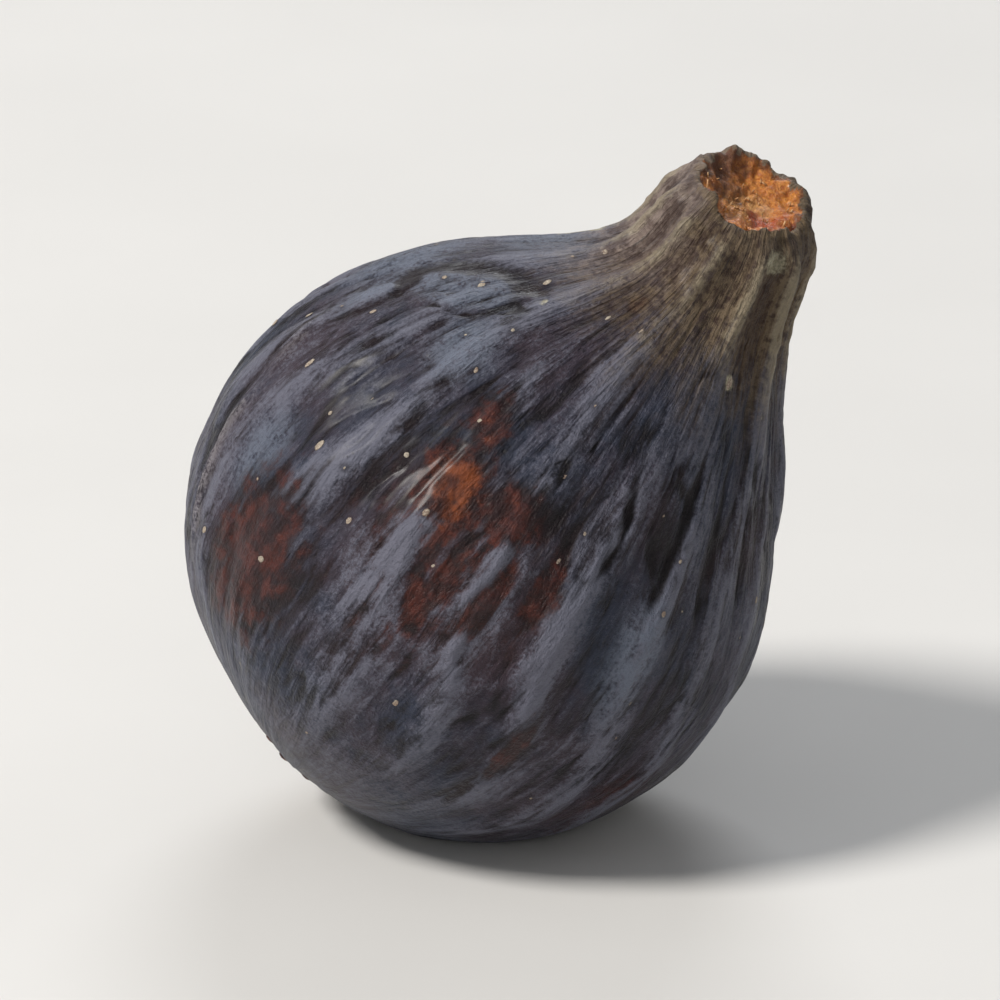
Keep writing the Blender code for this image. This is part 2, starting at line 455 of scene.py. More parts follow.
def ovalFrame(points, angle, height, halfRound, halfAlong, turn):
    # the middle of an oval patch of the skin and its two directions, each as long as 1 / its half size
    middle, along, sideways = surfacePoint(points, angle, height * mm)
    cosine, sine = math.cos(math.radians(turn)), math.sin(math.radians(turn))
    across = (sideways * cosine + along * sine) / (halfRound * mm)
    lengthwise = (along * cosine - sideways * sine) / (halfAlong * mm)
    return middle, across, lengthwise


def ovalLevel(place, oval):
    # 1 in the middle of an oval patch, 0 on its edge and less outside
    middle, across, lengthwise = oval
    if place.xy.dot(middle.xy) < 0.0:
        return -1.0
    away = place - middle
    return 1.0 - math.hypot(away.dot(across), away.dot(lengthwise))


def inside(kind, level):
    # 1 well inside a patch of this kind, 0 outside it
    return smoothStep(*rubbed["edges"][kind], level)


def within(kind, place, ovals):
    # 1 well inside any patch of this kind, 0 outside them all
    return max(inside(kind, ovalLevel(place, oval)) for oval in ovals[kind])


def markBand(place, oval):
    # 1 in the middle of the band round the mark, 0 on its edges, less outside; and 1 on the island
    middle, across, lengthwise = oval
    if place.xy.dot(middle.xy) < 0.0:
        return -1.0, 0.0
    away = place - middle
    side, ahead = away.dot(across), away.dot(lengthwise)
    upper = smoothStep(*ovalMark["change"], side)
    wander, pitch = ovalMark["wander"]
    run = ovalMark["run"] + wander * noise.noise(place / pitch)
    run -= ovalMark["inwards"] * (1.0 - upper)
    taper = 1.0 - ovalMark["taper"] * min(ahead * ahead, 1.0)
    halfWidth = ovalMark["below"] + (ovalMark["above"] - ovalMark["below"]) * upper * taper
    uneven, unevenBelow, pitch = ovalMark["uneven"]
    halfWidth *= 1.0 + (uneven + unevenBelow * (1.0 - upper)) * noise.noise(place / pitch)
    distance = math.hypot(side, ahead)
    band = 1.0 - abs(distance - run) / max(halfWidth, ovalMark["thinnest"])
    return band, smoothStep(run, ovalMark["island"] * run, distance)


def foldRelief(angle, place):
    # how high the long fold stands here, and how deep the furrow beside it is
    height = place.z / mm
    path = wrinkles["fold"]
    if not path[0][0] < height < path[-1][0]:
        return 0.0, 0.0
    for (low, lowAngle), (high, highAngle) in zip(path, path[1:]):
        if height <= high:
            foldAngle = lowAngle + (highAngle - lowAngle) * (height - low) / (high - low)
            break
    offset = math.radians((math.degrees(angle) - foldAngle + 180.0) % 360.0 - 180.0)
    away = offset * math.hypot(place.x, place.y)
    wander, pitch = wrinkles["foldWander"]
    away += wander * noise.noise(Vector((4.1, 0.2, height / pitch)))
    rise, fade = wrinkles["foldEnds"]
    ends = smoothStep(path[0][0], path[0][0] + rise, height)
    ends *= 1.0 - smoothStep(path[-1][0] - fade, path[-1][0], height)
    strength, change, pitch = wrinkles["foldUneven"]
    strength = ends * (strength + change * noise.noise(Vector((0.3, 0.7, height / pitch))))
    raised = strength * math.exp(-((away / wrinkles["foldWidth"]) ** 2))
    aside, _, width = wrinkles["besideFold"]
    sunk = strength * math.exp(-(((away - aside * mm) / width) ** 2))
    return raised, sunk


def crests(count, angle, drift):
    wave = 0.5 + 0.5 * math.cos(count * angle + drift)
    return 1.5 * wave**2 - 0.5


def ribRelief(angle, place):
    drift = noise.noise(place / ribs["wanderPitch"])
    strength = ribs["strength"] + ribs["unevenness"] * noise.noise(place / ribs["unevennessPitch"])
    onNeck = smoothStep(ribs["neckFrom"], ribs["neckFull"], place.z)
    onBody = smoothStep(ribs["bodyFrom"], ribs["bodyFull"], place.z) * (1.0 - onNeck)
    fading = 1.0 - ribs["neckFade"] * smoothStep(ribs["neckEnd"], fruit["length"], place.z)
    neckRibs = ribs["neckRelief"] * onNeck * fading * crests(ribs["onNeck"], angle, ribs["wander"] * drift)
    bodyRibs = ribs["bodyRelief"] * onBody * crests(ribs["onBody"], angle, ribs["bodyWander"] * drift)
    return strength * (neckRibs + bodyRibs)


def eyeRelief(angle, place, radius):
    if place.z > eye["depth"]:
        return 0.0
    relief = 0.0
    for scales, inner, outer, height, turn in eye["whorls"]:
        back = abs(math.cos(scales * (angle - turn) / 2))
        tip = inner + (1.0 - back) * eye["edge"]
        covers = smoothStep(tip, tip + eye["edge"], radius)
        covers *= 1.0 - smoothStep(outer - eye["edge"], outer, radius)
        relief += height * covers * back
    return relief


def cutRelief(place, radius):
    if place.z < cut["height"] * fruit["length"]:
        return 0.0
    torn = 1.0 - smoothStep(cut["radius"], cut["rimRadius"], radius)
    relief = cut["relief"] * noise.noise(place / cut["pitch"])
    relief += cut["fineRelief"] * noise.noise(place / cut["finePitch"])
    return torn * relief


def rimRelief(place):
    # how far the ragged rim of the cut stands up or down here
    rim = smoothStep(*cut["rimRadii"], math.hypot(place.x, place.y))
    rim *= smoothStep(*cut["rimHeights"], place.z / fruit["length"])
    return cut["raggedRim"] * rim * noise.noise(Vector((place.x, place.y, 0.0)) / cut["raggedPitch"])


def meridianNoise(meridian, pattern):
    # noise drawn out along the fruit
    _, pitchRound, pitchAlong, start = pattern
    return noise.noise(
        Vector((meridian.x / pitchRound, meridian.y / pitchRound, meridian.z / pitchAlong + start))
    )


def furrow(meridian, pattern, width):
    # 1 in the middle of a narrow line that runs along the fruit, 0 beside it
    return 1.0 - smoothStep(0.0, width, abs(meridianNoise(meridian, pattern)))


def wrinkleDepths(place, meridian):
    # how deep the long wrinkles are here, coarse and fine
    patchy = smoothStep(*wrinkles["patchEdges"], noise.noise(place / wrinkles["patchPitch"]))
    fades = smoothStep(*wrinkles["comeIn"], place.z) * (1.0 - smoothStep(*wrinkles["fadeOut"], place.z))
    strength = fades * (wrinkles["fewest"] + (1.0 - wrinkles["fewest"]) * patchy)
    return [
        pattern[0] * strength * furrow(meridian, pattern, wrinkles["width"])
        for pattern in (wrinkles["coarse"], wrinkles["fine"])
    ]


def corkRelief(place, meridian):
    # the neck's rough, corky skin
    share = smoothStep(neckCork["from"], neckCork["full"], place.z)
    if share == 0.0:
        return 0.0
    relief = 0.0
    for name in ("lumps", "grains"):
        height, pitch = neckCork[name]
        relief += height * noise.noise(place / pitch)
    return share * (relief + neckCork["rings"][0] * meridianNoise(meridian, neckCork["rings"]))


def pressed(height, floor):
    rounding = fruit["flatRounding"]
    above = height - floor
    if above >= rounding:
        return height
    if above <= -rounding:
        return floor
    return floor + (above + rounding) ** 2 / (4.0 * rounding)


def turnedSkin():
    # the outline spun once round, each point keeping its distance along the skin
    points, along = outlinePoints()
    skin = bmesh.new()
    alongLayer = skin.verts.layers.float.new("along")
    outline = [skin.verts.new(point) for point in points]
    for vert, distance in zip(outline, along):
        vert[alongLayer] = distance / mm
    spinOutline(skin, outline, fruit["around"], 0.001 * mm)
    return skin, points


def placedOvals(points):
    # every patch of the skin, set on the turned outline
    kinds = ("furrows", "warm", "netted", "frost", "pale")
    ovals = {kind: [ovalFrame(points, *oval) for oval in rubbed[kind]] for kind in kinds}
    ovals["patches"] = [(ovalFrame(points, *oval), orange, dent) for *oval, orange, dent in rubbed["patches"]]
    ovals["mark"] = ovalFrame(points, *ovalMark["oval"])
    ovals["crack"] = ovalFrame(points, *ovalMark["crack"])
    return ovals


def rubbedLevels(place, ovals):
    # how far inside a rubbed patch this point is, how orange the skin is there, and how deep its dent
    bare, ember, dent = -1.0, 0.0, 0.0
    for oval, orange, patchDent in ovals["patches"]:
        level = ovalLevel(place, oval)
        bare = max(bare, level)
        ember = max(ember, orange * inside("ember", level))
        dent += patchDent * mm * inside("dent", level)
    return bare, ember, dent


def skinAt(place, meridian, fromRim, ovals):
    # how far a point of the skin moves along its normal, and what the materials need to know about it
    radius = math.hypot(place.x, place.y)
    angle = math.atan2(place.y, place.x)
    clear = smoothStep(ribs["freeRadius"], cut["radius"], radius)
    ribbing = ribRelief(angle, place) * clear
    coarse, fine = wrinkleDepths(place, meridian)
    raised, sunk = foldRelief(angle, place)
    strength, change, pitch = rubbed["furrowUneven"]
    furrowed = within("furrows", place, ovals) * (strength + change * noise.noise(place / pitch))
    net = within("netted", place, ovals) * furrow(meridian, wrinkles["net"], wrinkles["netWidth"])
    bare, ember, dent = rubbedLevels(place, ovals)
    mark, island = markBand(place, ovals["mark"])
    crack = ovalLevel(place, ovals["crack"])
    dent += ovalMark["dent"] * max(inside("mark", mark), inside("crack", crack))
    # how far inside the torn edge of the skin, in mm
    torn = fromRim - cut["tearWander"] * noise.noise(place / cut["tearPitch"])

    relief = ribs["swell"] * noise.noise(place / ribs["swellPitch"])
    relief += ribbing + eyeRelief(angle, place, radius) + cutRelief(place, radius)
    dimples = wrinkles["dimples"][0] * meridianNoise(meridian, wrinkles["dimples"])
    relief += clear * (corkRelief(place, meridian) + dimples - coarse - fine) - dent
    relief += wrinkles["foldHeight"] * raised - wrinkles["besideFold"][1] * sunk
    relief += wrinkles["net"][0] * net - rubbed["furrowDepth"] * furrowed
    relief -= cut["tearDepth"] * smoothStep(*cut["tearEdge"], torn)

    groove = coarse / wrinkles["coarse"][0] + 0.6 * fine / wrinkles["fine"][0]
    notes = {
        "rib": ribbing / ribs["noteUnit"],
        "groove": groove + 1.5 * furrowed + 2.0 * sunk,
        "bare": bare,
        "ember": ember,
        "warm": within("warm", place, ovals),
        "net": net,
        "pale": max(crack, -1.0, *(ovalLevel(place, oval) for oval in ovals["pale"])),
        "mark": mark,
        "frost": max(within("frost", place, ovals), island),
        "height": place.z / mm,
        "fold": raised,
        "torn": torn,
        "radius": radius / mm,
        "side": math.cos(angle - fruit["oliveSide"]),
        "meridian": meridian,
    }
    return relief, notes


def shapeSkin(skin, points):
    layers = {name: skin.verts.layers.float.new(name) for name in skinNotes}
    layers["meridian"] = skin.verts.layers.float_vector.new("meridian")
    alongLayer = skin.verts.layers.float["along"]
    rimAlong = max(skin.verts, key=lambda vert: vert.co.z)[alongLayer]
    half = fruit["width"] / 2 / mm
    ovals = placedOvals(points)
    skin.normal_update()
    for vert in skin.verts:
        place = vert.co.copy()
        angle = math.atan2(place.y, place.x)
        # the point's place on a drum as wide as the fruit, so that streaks keep their width
        meridian = Vector((half * math.cos(angle), half * math.sin(angle), vert[alongLayer]))
        relief, notes = skinAt(place, meridian, vert[alongLayer] - rimAlong, ovals)
        for name, value in notes.items():
            vert[layers[name]] = value
        vert.co = place + vert.normal * relief
        vert.co.z += rimRelief(place)


def bendAndLean(skin):
    # the fuller shoulder, the slanting cut, the bent neck, the lean and the pressed flat spot
    length = fruit["length"]
    arcRadius = (length - fruit["neckStart"]) / fruit["neckBend"]
    for vert in skin.verts:
        height = vert.co.z / length
        share = smoothStep(*fruit["shoulderBelow"], height)
        share *= 1.0 - smoothStep(*fruit["shoulderAbove"], height)
        upperSide = 0.5 - 0.5 * math.cos(math.atan2(vert.co.y, vert.co.x))
        side = fruit["lowerSideShare"] + (1.0 - fruit["lowerSideShare"]) * upperSide
        vert.co.x -= fruit["shoulderShift"] * share * side
        slanting = smoothStep(cut["slantFrom"], 1.0, height)
        vert.co.z += slanting * vert.co.y * math.tan(cut["slant"])
        past = vert.co.z - fruit["neckStart"]
        if past > 0.0:
            turned = past / arcRadius
            reach = arcRadius + vert.co.x
            vert.co.x = reach * math.cos(turned) - arcRadius
            vert.co.z = fruit["neckStart"] + reach * math.sin(turned)
    bmesh.ops.transform(skin, matrix=Matrix.Rotation(fruit["lean"], 4, "Y"), verts=skin.verts)
    floor = min(vert.co.z for vert in skin.verts) + fruit["pressedFlat"]
    for vert in skin.verts:
        vert.co.z = pressed(vert.co.z, floor)
    # the same place as the solid: same middle from side to side, and standing on the same level
    low = Vector([min(vert.co[axis] for vert in skin.verts) for axis in range(3)])
    high = Vector([max(vert.co[axis] for vert in skin.verts) for axis in range(3)])
    move = (cadLow + cadHigh) / 2 - (low + high) / 2
    move.z = cadLow.z - low.z
    bmesh.ops.translate(skin, vec=move, verts=skin.verts)
    return Matrix.Translation(move) @ Matrix.Rotation(fruit["lean"], 4, "Y")


def markCut(skin):
    # faces inside the skin's torn edge take the second material
    tornLayer = skin.verts.layers.float["torn"]
    for face in skin.faces:
        torn = sum(vert[tornLayer] for vert in face.verts) / len(face.verts)
        face.material_index = 1 if torn > 0.0 else 0


# The skin's finish

skinClouds = {
    # pitch, detail and roughness
    "blotch": (9.0 * mm, 3.0, 0.55),
    "drift": (16.0 * mm, 2.0, 0.5),
    "mottle": (1.7 * mm, 5.0, 0.62),
    "scurf": (0.75 * mm, 5.0, 0.65),
    "dust": (0.34 * mm, 4.0, 0.6),
    "grain": (0.13 * mm, 2.0, 0.5),
    "speckled": (4.0 * mm, 2.0, 0.5),
}

skinStreaks = {
    # along the fruit: pitch round it in mm, detail, roughness, share of the length counted, distortion
    "longStreak": (2.6, 3.0, 0.6, 0.13, 0.4),
    "hairStreak": (0.75, 3.0, 0.6, 0.12, 0.3),
    "dash": (2.3, 4.0, 0.55, 0.30, 0.7),
    "fineDash": (0.95, 4.0, 0.55, 0.26, 0.5),
}

skinTones = {
    "dark": (paint(15, 10, 15), paint(31, 19, 23)),
    "red": (paint(40, 17, 15), paint(80, 36, 27)),
    "orange": (paint(84, 40, 20), paint(130, 66, 29)),
    "blueBloom": (paint(48, 53, 68), paint(55, 52, 62)),
    "purpleBloom": paint(58, 46, 54),
    "warmBloom": paint(60, 42, 44),
    # pale thick bloom, also used as a painted highlight on the rib crests
    "paleBloomAndHighlight": paint(106, 107, 120),
    # thick bluish bloom, also a painted highlight on the upper shoulder and round the mark
    "frost": paint(108, 116, 131),
    # painted shade for the grooves of the wrinkles and furrows
    "groove": paint(17, 12, 14),
    "mark": paint(20, 11, 10),
    "neckTan": (paint(106, 90, 82), paint(150, 134, 124)),
    "neckOlive": (paint(70, 54, 41), paint(116, 99, 77)),
    "neckRidge": paint(166, 154, 128),
    # painted shade for the hollows between the neck's ribs
    "neckHollowShade": paint(58, 40, 31),
    "neckFleck": paint(62, 44, 34),
    "tornEdge": paint(132, 112, 84),
    "cream": (paint(134, 126, 100), paint(190, 184, 158)),
    # painted highlight for the crest of the long fold
    "foldHighlight": paint(150, 145, 148),
    "sheen": paint(214, 220, 236),
}


def skinPattern(finish):
    # what the points of the skin note, with the clouds and streaks that lie over them
    fields = [name for name in skinNotes if name != "radius"] + ["halo"]
    pattern = {name: finish.field(name) for name in fields}
    for name, cloud in skinClouds.items():
        pattern[name] = finish.cloud(*cloud)
    for name, (pitch, detail, roughness, lengthwise, distortion) in skinStreaks.items():
        place = finish.stretched("meridian", (1.0, 1.0, lengthwise))
        pattern[name] = finish.cloud(pitch, detail, roughness, place, distortion)
    return SimpleNamespace(**pattern)


def bloomShares(finish, on):
    # how much bloom is left, and how much of the oval mark shows; the bloom is rubbed off
    # in ragged patches, along wrinkles and streaks, in small specks and round the corky ones
    ragged = 1.5 * on.mottle + 1.2 * on.longStreak + 0.9 * on.hairStreak + 1.1 * on.dash + 0.4 * on.dust
    patch = finish.step(-0.16, 0.60, 1.8 * on.bare + ragged - 0.38 * on.net)
    marking = on.mark + 1.6 * on.mottle + 0.9 * on.scurf + 0.9 * on.longStreak + 0.6 * on.hairStreak
    marked = finish.step(-0.08, 0.85, marking)
    speck = finish.step(0.24, 0.10, finish.cells(0.8 * mm) + 0.5 * on.mottle)
    speck = speck * finish.step(0.02, 0.14, on.speckled)
    streaks = 2.7 * on.dash + 1.4 * on.fineDash + 0.8 * on.longStreak + 0.8 * on.hairStreak
    bloom = 0.86 + 0.5 * on.blotch + 0.8 * on.mottle + 0.35 * on.dust + 0.16 * on.rib
    bloom = bloom - streaks - 0.44 * on.groove + 0.50 * on.net - 0.26 * on.warm
    bloom = finish.step(0.06, 0.94, bloom + 0.25 * on.frost)
    bloom = bloom * (1.0 - 0.93 * patch) * (1.0 - 0.5 * speck) * (1.0 - 0.96 * marked)
    return bloom * (1.0 - 0.45 * finish.step(0.05, 0.65, on.halo + 0.8 * on.mottle)), marked


def bareColour(finish, on):
    # dark skin, red-brown in the rubbed patches and orange in the middle of some
    dark = finish.mix(finish.step(-0.12, 0.16, on.blotch + 0.4 * on.longStreak), *skinTones["dark"])
    red = finish.mix(finish.step(-0.1, 0.22, on.mottle + 0.3 * on.hairStreak), *skinTones["red"])
    orange = finish.mix(finish.step(-0.1, 0.2, on.mottle), *skinTones["orange"])
    reddish = finish.step(-0.1, 0.70, on.bare + 1.4 * on.mottle)
    reddish = reddish + 0.80 * on.warm * finish.step(-0.25, 0.15, on.mottle + on.drift)
    bare = finish.mix(reddish, dark, red)
    return finish.mix(finish.step(0.32, 1.05, on.ember + 1.5 * on.mottle), bare, orange)


def bloomColour(finish, on):
    # blue-grey, purple and warm in places, paler where it lies thick, with a painted highlight on the rib
    # crests and in the frost patches
    bloom = finish.mix(finish.step(-0.14, 0.16, on.blotch), *skinTones["blueBloom"])
    purple = finish.step(-0.10, 0.20, on.drift + 0.5 * on.mottle)
    bloom = finish.mix(0.80 * purple, bloom, skinTones["purpleBloom"])
    bloom = finish.mix(0.60 * on.warm, bloom, skinTones["warmBloom"])
    # paler where the bloom lies thick and dusty, and a painted highlight on the rib crests
    paleAndHighlit = 0.75 * on.rib + 1.6 * on.dust + 0.8 * on.grain + 1.0 * on.mottle + 0.6 * on.blotch
    paleAndHighlit = paleAndHighlit + 0.35 * on.net - 1.5 * on.dash - 1.2 * on.fineDash - 1.0 * on.hairStreak
    bloom = finish.mix(0.85 * finish.step(0.20, 1.30, paleAndHighlit + 0.50), bloom, skinTones["paleBloomAndHighlight"])
    # thick bluish bloom with a painted highlight, in the frost patches and on the mark's island
    frostHighlightShare = 0.70 * on.frost * finish.step(-0.3, 0.1, on.mottle + on.dust)
    return finish.mix(frostHighlightShare, bloom, skinTones["frost"])


def neckColour(finish, on):
    # tan above, brown and olive cork below, with a few pale ridges and painted shade in the hollows between
    # the ribs
    tan = finish.mix(finish.step(-0.14, 0.16, on.mottle + 0.8 * on.scurf), *skinTones["neckTan"])
    olive = finish.mix(finish.step(-0.16, 0.12, on.scurf + 0.6 * on.hairStreak), *skinTones["neckOlive"])
    neck = finish.mix(finish.step(-0.35, 0.35, on.side + 2.2 * on.blotch + 1.6 * on.mottle), tan, olive)
    ridges = finish.step(0.5, 1.8, on.rib + 2.4 * on.scurf + 1.2 * on.mottle)
    neck = finish.mix(0.60 * ridges, neck, skinTones["neckRidge"])
    # painted shade in the hollows between the neck's ribs
    hollowShade = finish.step(-0.15, -0.9, on.rib + 1.8 * on.scurf)
    neck = finish.mix(0.60 * hollowShade, neck, skinTones["neckHollowShade"])
    flecks = finish.step(0.09, 0.2, on.dash + 0.5 * on.scurf)
    neck = finish.mix(0.55 * flecks, neck, skinTones["neckFleck"])
    tornEdge = finish.step(-1.1, -0.2, on.torn + 1.6 * on.scurf)
    return finish.mix(0.60 * tornEdge, neck, skinTones["tornEdge"])


def skinFinish():
    finish = Finish("fig_skin")
    on = skinPattern(finish)
    bloom, marked = bloomShares(finish, on)
    colour = finish.mix(bloom, bareColour(finish, on), bloomColour(finish, on))
    # painted shade: the skin is darkened in the grooves of the wrinkles and furrows
    grooveShade = finish.step(0.6, 2.0, on.groove + 1.2 * on.mottle)
    colour = finish.mix(0.68 * grooveShade, colour, skinTones["groove"])
    colour = finish.mix(0.40 * marked, colour, skinTones["mark"])
    neckEdge = on.height + 1.5 * on.side + 9.0 * on.blotch + 7.0 * on.mottle + 5.0 * on.hairStreak
    neckZone = finish.step(*neckCork["colour"], neckEdge)
    colour = finish.mix(0.92 * neckZone, colour, neckColour(finish, on))
    cream = finish.mix(finish.step(-0.15, 0.15, on.scurf), *skinTones["cream"])
    paleMarks = finish.step(0.0, 0.6, on.pale + 1.8 * on.mottle + 1.2 * on.scurf)
    colour = finish.mix(0.80 * paleMarks, colour, cream)
    # a painted highlight along the crest of the long fold, broken up by noise
    foldHighlightShare = on.fold * finish.step(-0.15, 0.15, on.dust + on.mottle + 0.6 * on.hairStreak)
    colour = finish.mix(0.60 * foldHighlightShare, colour, skinTones["foldHighlight"])
    lumps = 0.45 * on.mottle + 0.22 * on.dust + 0.08 * on.grain + 0.4 * neckZone * on.scurf
    lumps = lumps + 0.25 * on.hairStreak - 0.9 * on.dash - 0.5 * on.fineDash - 0.3 * on.longStreak
    finish.surface({
        "Base Color": colour,
        "Roughness": 0.31 + 0.15 * bloom + 0.18 * neckZone + 0.25 * on.dust,
        "Coat Weight": 0.05 + 0.13 * (1.0 - bloom) * (1.0 - neckZone),
        "Coat Roughness": 0.25,
        "Sheen Weight": 0.08,
        "Sheen Roughness": 0.45,
        "Sheen Tint": skinTones["sheen"],
        "Specular IOR Level": 0.15,
        "Normal": finish.bump(lumps, 0.95 * mm),
    })
    return finish.material


# The torn cut's finish

cutTones = {
    "flesh": (paint(166, 90, 28), paint(212, 140, 60)),
    "pith": (paint(172, 116, 60), paint(214, 170, 110)),
    "red": paint(156, 66, 18),
    "brown": paint(98, 48, 27),
    "pit": paint(70, 36, 24),
    # painted shade for one side of the cut
    "shadedSide": paint(74, 44, 30),
    "rim": paint(88, 50, 30),
}


def cutFinish():
    finish = Finish("fig_torn_cut")
    radius = finish.field("radius")
    torn = finish.field("torn")
    side = finish.field("side")
    fibre = finish.cloud(0.36 * mm, 5.0, 0.65, distortion=0.8)
    patchy = finish.cloud(2.4 * mm, 3.0, 0.55)
    wet = finish.cloud(1.0 * mm, 2.0)
    flesh = finish.mix(finish.step(-0.14, 0.18, fibre + 0.4 * patchy), *cutTones["flesh"])
    pith = finish.mix(finish.step(-0.1, 0.16, fibre), *cutTones["pith"])
    flesh = finish.mix(0.75 * finish.step(3.0, 1.2, radius + 5.0 * patchy + 3.0 * fibre), flesh, pith)
    flesh = finish.mix(finish.step(0.75, 1.1, side + 1.4 * patchy), flesh, cutTones["red"])
    flesh = finish.mix(0.85 * finish.step(0.10, 0.24, patchy + 0.5 * fibre), flesh, cutTones["brown"])
    flesh = finish.mix(0.80 * finish.step(0.12, 0.26, wet + 0.6 * fibre), flesh, cutTones["pit"])
    # painted shade: darker on the side of the cut opposite the olive side of the neck
    flesh = finish.mix(0.85 * finish.step(-0.55, -1.1, side + 1.6 * patchy), flesh, cutTones["shadedSide"])
    flesh = finish.mix(0.80 * finish.step(0.40, -0.05, torn + 1.2 * wet), flesh, cutTones["rim"])
    finish.surface({
        "Base Color": flesh,
        "Roughness": 0.44 + 0.5 * wet,
        "Coat Weight": 0.16 + 0.6 * wet,
        "Coat Roughness": 0.25,
        "Subsurface Weight": 0.10,
        "Subsurface Radius": (0.9, 0.4, 0.15),
        "Subsurface Scale": 0.6 * mm,
        "Normal": finish.bump(fibre, 0.30 * mm),
    })
    return finish.material


def makeSkin():
    skin, points = turnedSkin()
    shapeSkin(skin, points)
    markCut(skin)
    standing = bendAndLean(skin)
    bmesh.ops.recalc_face_normals(skin, faces=skin.faces)
    piece = addPiece("fig_skin", skin, [skinFinish(), cutFinish()])
    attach(piece, "root")
    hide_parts("fig")
    print("skin made, triangles:", sum(len(face.vertices) - 2 for face in piece.data.polygons))
    return piece, standing


# The corky specks on the skin

specks = {
    "seed": 11,
    "count": 105,
    "apart": 3.0 * mm,
    "heights": (7.0, 60.0),
    "lowest": 2.0 * mm,  # none where the fruit rests
    "smallest": 0.20 * mm,
    "largest": 0.78 * mm,
    "raised": 0.07,  # thickness as a share of the width
    "longest": 1.8,
    "swing": 25.0,  # degrees to either side of the fruit's length
    "uneven": (0.28, 1.1),  # how far the rim goes in and out, and how quickly
    "unlike": 0.4 * mm,  # specks this far apart have other rims
    "halo": 0.75 * mm,  # how far round a speck the bloom is thin
    # angle, height and width of the ones that show most
    "known": (
        (-158.0, 34.3, 0.85), (-140.0, 30.6, 0.85), (-108.0, 56.7, 0.65), (-58.0, 56.7, 1.0),
        (-135.0, 19.2, 0.65), (-113.0, 33.6, 0.60), (-124.0, 28.0, 0.55), (-96.0, 44.0, 0.45),
    ),
}


def nearestVertex(mesh, angle, height):
    # the point of the skin at an angle and a height of the upright fruit
    heights = mesh.attributes["height"].data
    meridians = mesh.attributes["meridian"].data
    half = fruit["width"] / 2 / mm
    wanted = Vector((half * math.cos(math.radians(angle)), half * math.sin(math.radians(angle))))
    return min(
        range(len(mesh.vertices)),
        key=lambda one: (meridians[one].vector.xy - wanted).length + abs(heights[one].value - height),
    )


def speckMatrix(vertex, size, draw):
    # flat on the skin, drawn out along the fruit and swung a little
    axis = Vector((math.sin(fruit["lean"]), 0.0, math.cos(fruit["lean"])))
    normal = vertex.normal
    along = (axis - normal * axis.dot(normal)).normalized()
    turn = Matrix((normal.cross(along), along, normal)).transposed().to_4x4()
    stretch = 1.0 + (specks["longest"] - 1.0) * draw.random()
    scale = Matrix.Diagonal((size / 2, size / 2 * stretch, size / 2 * specks["raised"], 1.0))
    swing = Matrix.Rotation(math.radians(draw.uniform(-specks["swing"], specks["swing"])), 4, "Z")
    return Matrix.Translation(vertex.co) @ turn @ swing @ scale


def noteHalos(mesh, spots):
    # notes how near to a speck each point of the skin is
    halo = mesh.attributes.new("halo", "FLOAT", "POINT").data
    tree = KDTree(len(mesh.vertices))
    for vertex in mesh.vertices:
        tree.insert(vertex.co, vertex.index)
    tree.balance()
    for spot in spots:
        for _, index, away in tree.find_range(spot, specks["halo"]):
            halo[index].value = max(halo[index].value, 1.0 - away / specks["halo"])


def makeSpecks(skinPiece):
    draw = random.Random(specks["seed"])
    mesh = skinPiece.data
    heights = mesh.attributes["height"].data
    lowest, highest = specks["heights"]
    uneven, quickness = specks["uneven"]
    shape = bmesh.new()
    taken = []
    known = list(specks["known"])
    while len(taken) < specks["count"]:
        size = specks["smallest"] + (specks["largest"] - specks["smallest"]) * draw.random() ** 3
        if known:
            angle, height, width = known.pop()
            size = width * mm
            index = nearestVertex(mesh, angle, height)
        else:
            index = draw.randrange(len(mesh.vertices))
            if not lowest < heights[index].value < highest:
                continue
        spot = mesh.vertices[index].co.copy()
        if spot.z < specks["lowest"] or any((spot - other).length < specks["apart"] for other in taken):
            continue
        taken.append(spot)
        matrix = speckMatrix(mesh.vertices[index], size, draw)
        bead = bmesh.ops.create_uvsphere(shape, u_segments=9, v_segments=5, radius=1.0)["verts"]
        for vert in bead:
            # an uneven rim, and no two alike
            vert.co *= 1.0 + uneven * noise.noise(vert.co * quickness + spot / specks["unlike"])
        bmesh.ops.transform(shape, matrix=matrix, verts=bead)
    noteHalos(mesh, taken)
    piece = addPiece("fig_specks", shape, [speckFinish()])
    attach(piece, "root")
    print("corky specks made:", len(taken))


def speckFinish():
    finish = Finish("fig_cork_specks")
    tone = finish.cloud(3.0 * mm, 2.0)
    fine = finish.cloud(0.15 * mm, 3.0)
    colour = finish.mix(finish.step(-0.15, 0.15, tone), paint(146, 134, 120), paint(122, 100, 86))
    colour = finish.mix(finish.step(-0.1, 0.25, fine), colour, paint(186, 176, 158))
    finish.surface({
        "Base Color": colour,
        "Roughness": 0.75 + 0.3 * fine,
        "Normal": finish.bump(fine, 0.03 * mm),
    })
    return finish.material


# The scales that close the eye in the base, over the relief that the skin has there

eyeScales = {
    # how many, distance of the middle from the axis, half width, half length, height out, first angle
    "whorls": (
        (9, 2.70, 1.00, 1.45, -0.06, 0.0),
        (7, 1.85, 0.80, 1.15, 0.02, 0.4),
        (5, 1.05, 0.60, 0.85, 0.02, 0.1),
    ),
    "thickness": 0.20 * mm,
    "narrowing": (0.72, 2.2),  # of the tip, and the power that it grows with
    "dips": 0.45,  # how far the tips dip into the eye, as a share of the half length
    "hollow": 0.3,  # how much the sides bend with them
    "uneven": 0.16,
    "swing": 0.12,  # from its even place round the eye, in radians
    "seed": 5,
}


